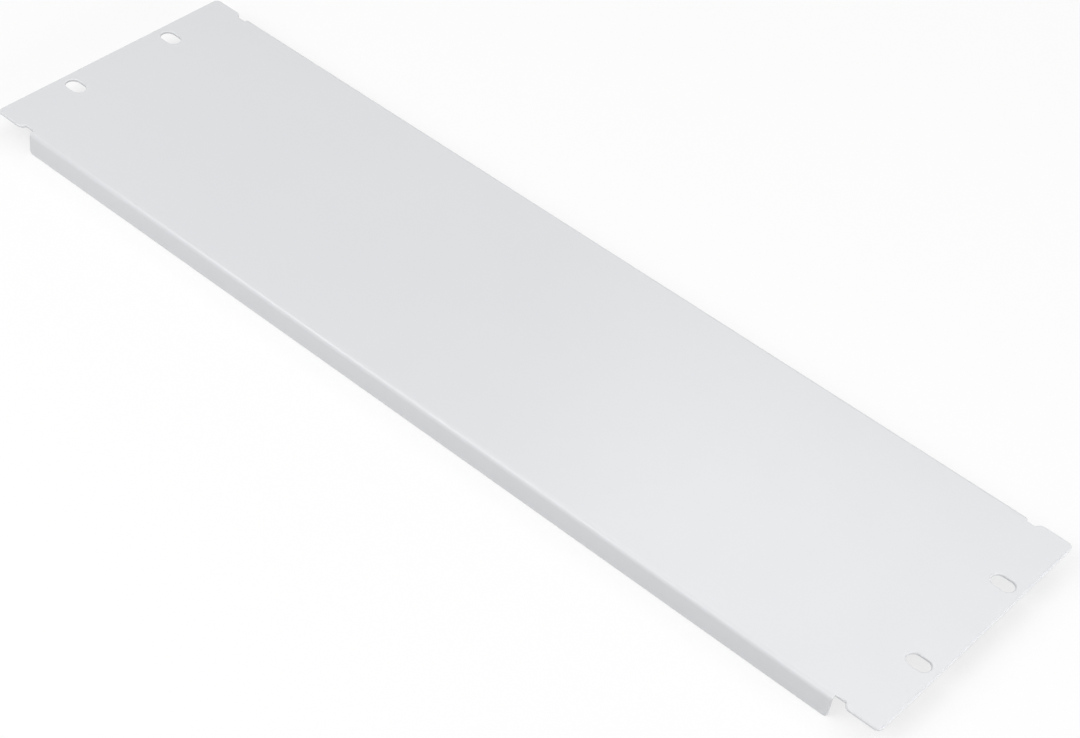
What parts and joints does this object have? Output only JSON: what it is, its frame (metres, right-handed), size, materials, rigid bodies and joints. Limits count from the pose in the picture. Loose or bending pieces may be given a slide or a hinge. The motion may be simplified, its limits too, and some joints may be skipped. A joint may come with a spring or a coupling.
{
  "type": "rack blanking panel",
  "caption": "Folded sheet-metal blanking panel for a 19-inch rack: flat front, shallow folded flanges on both long sides, flat ears with mounting slots.",
  "frame": {"origin": "centre of the rectangle of mounting slots, in the plane where the backs of the ears touch the rack's rails", "axes": "+X along the panel's length, +Y across it from one flange to the other, +Z out of the front face, away from the rack"},
  "size_m": [0.4826, 0.1324, 0.0115],
  "materials": {
    "powder_coat": "satin light-grey powder coat with a fine orange-peel surface"
  },
  "bodies": {
    "root": {"panel": "powder_coat"}
  },
  "joints": []
}
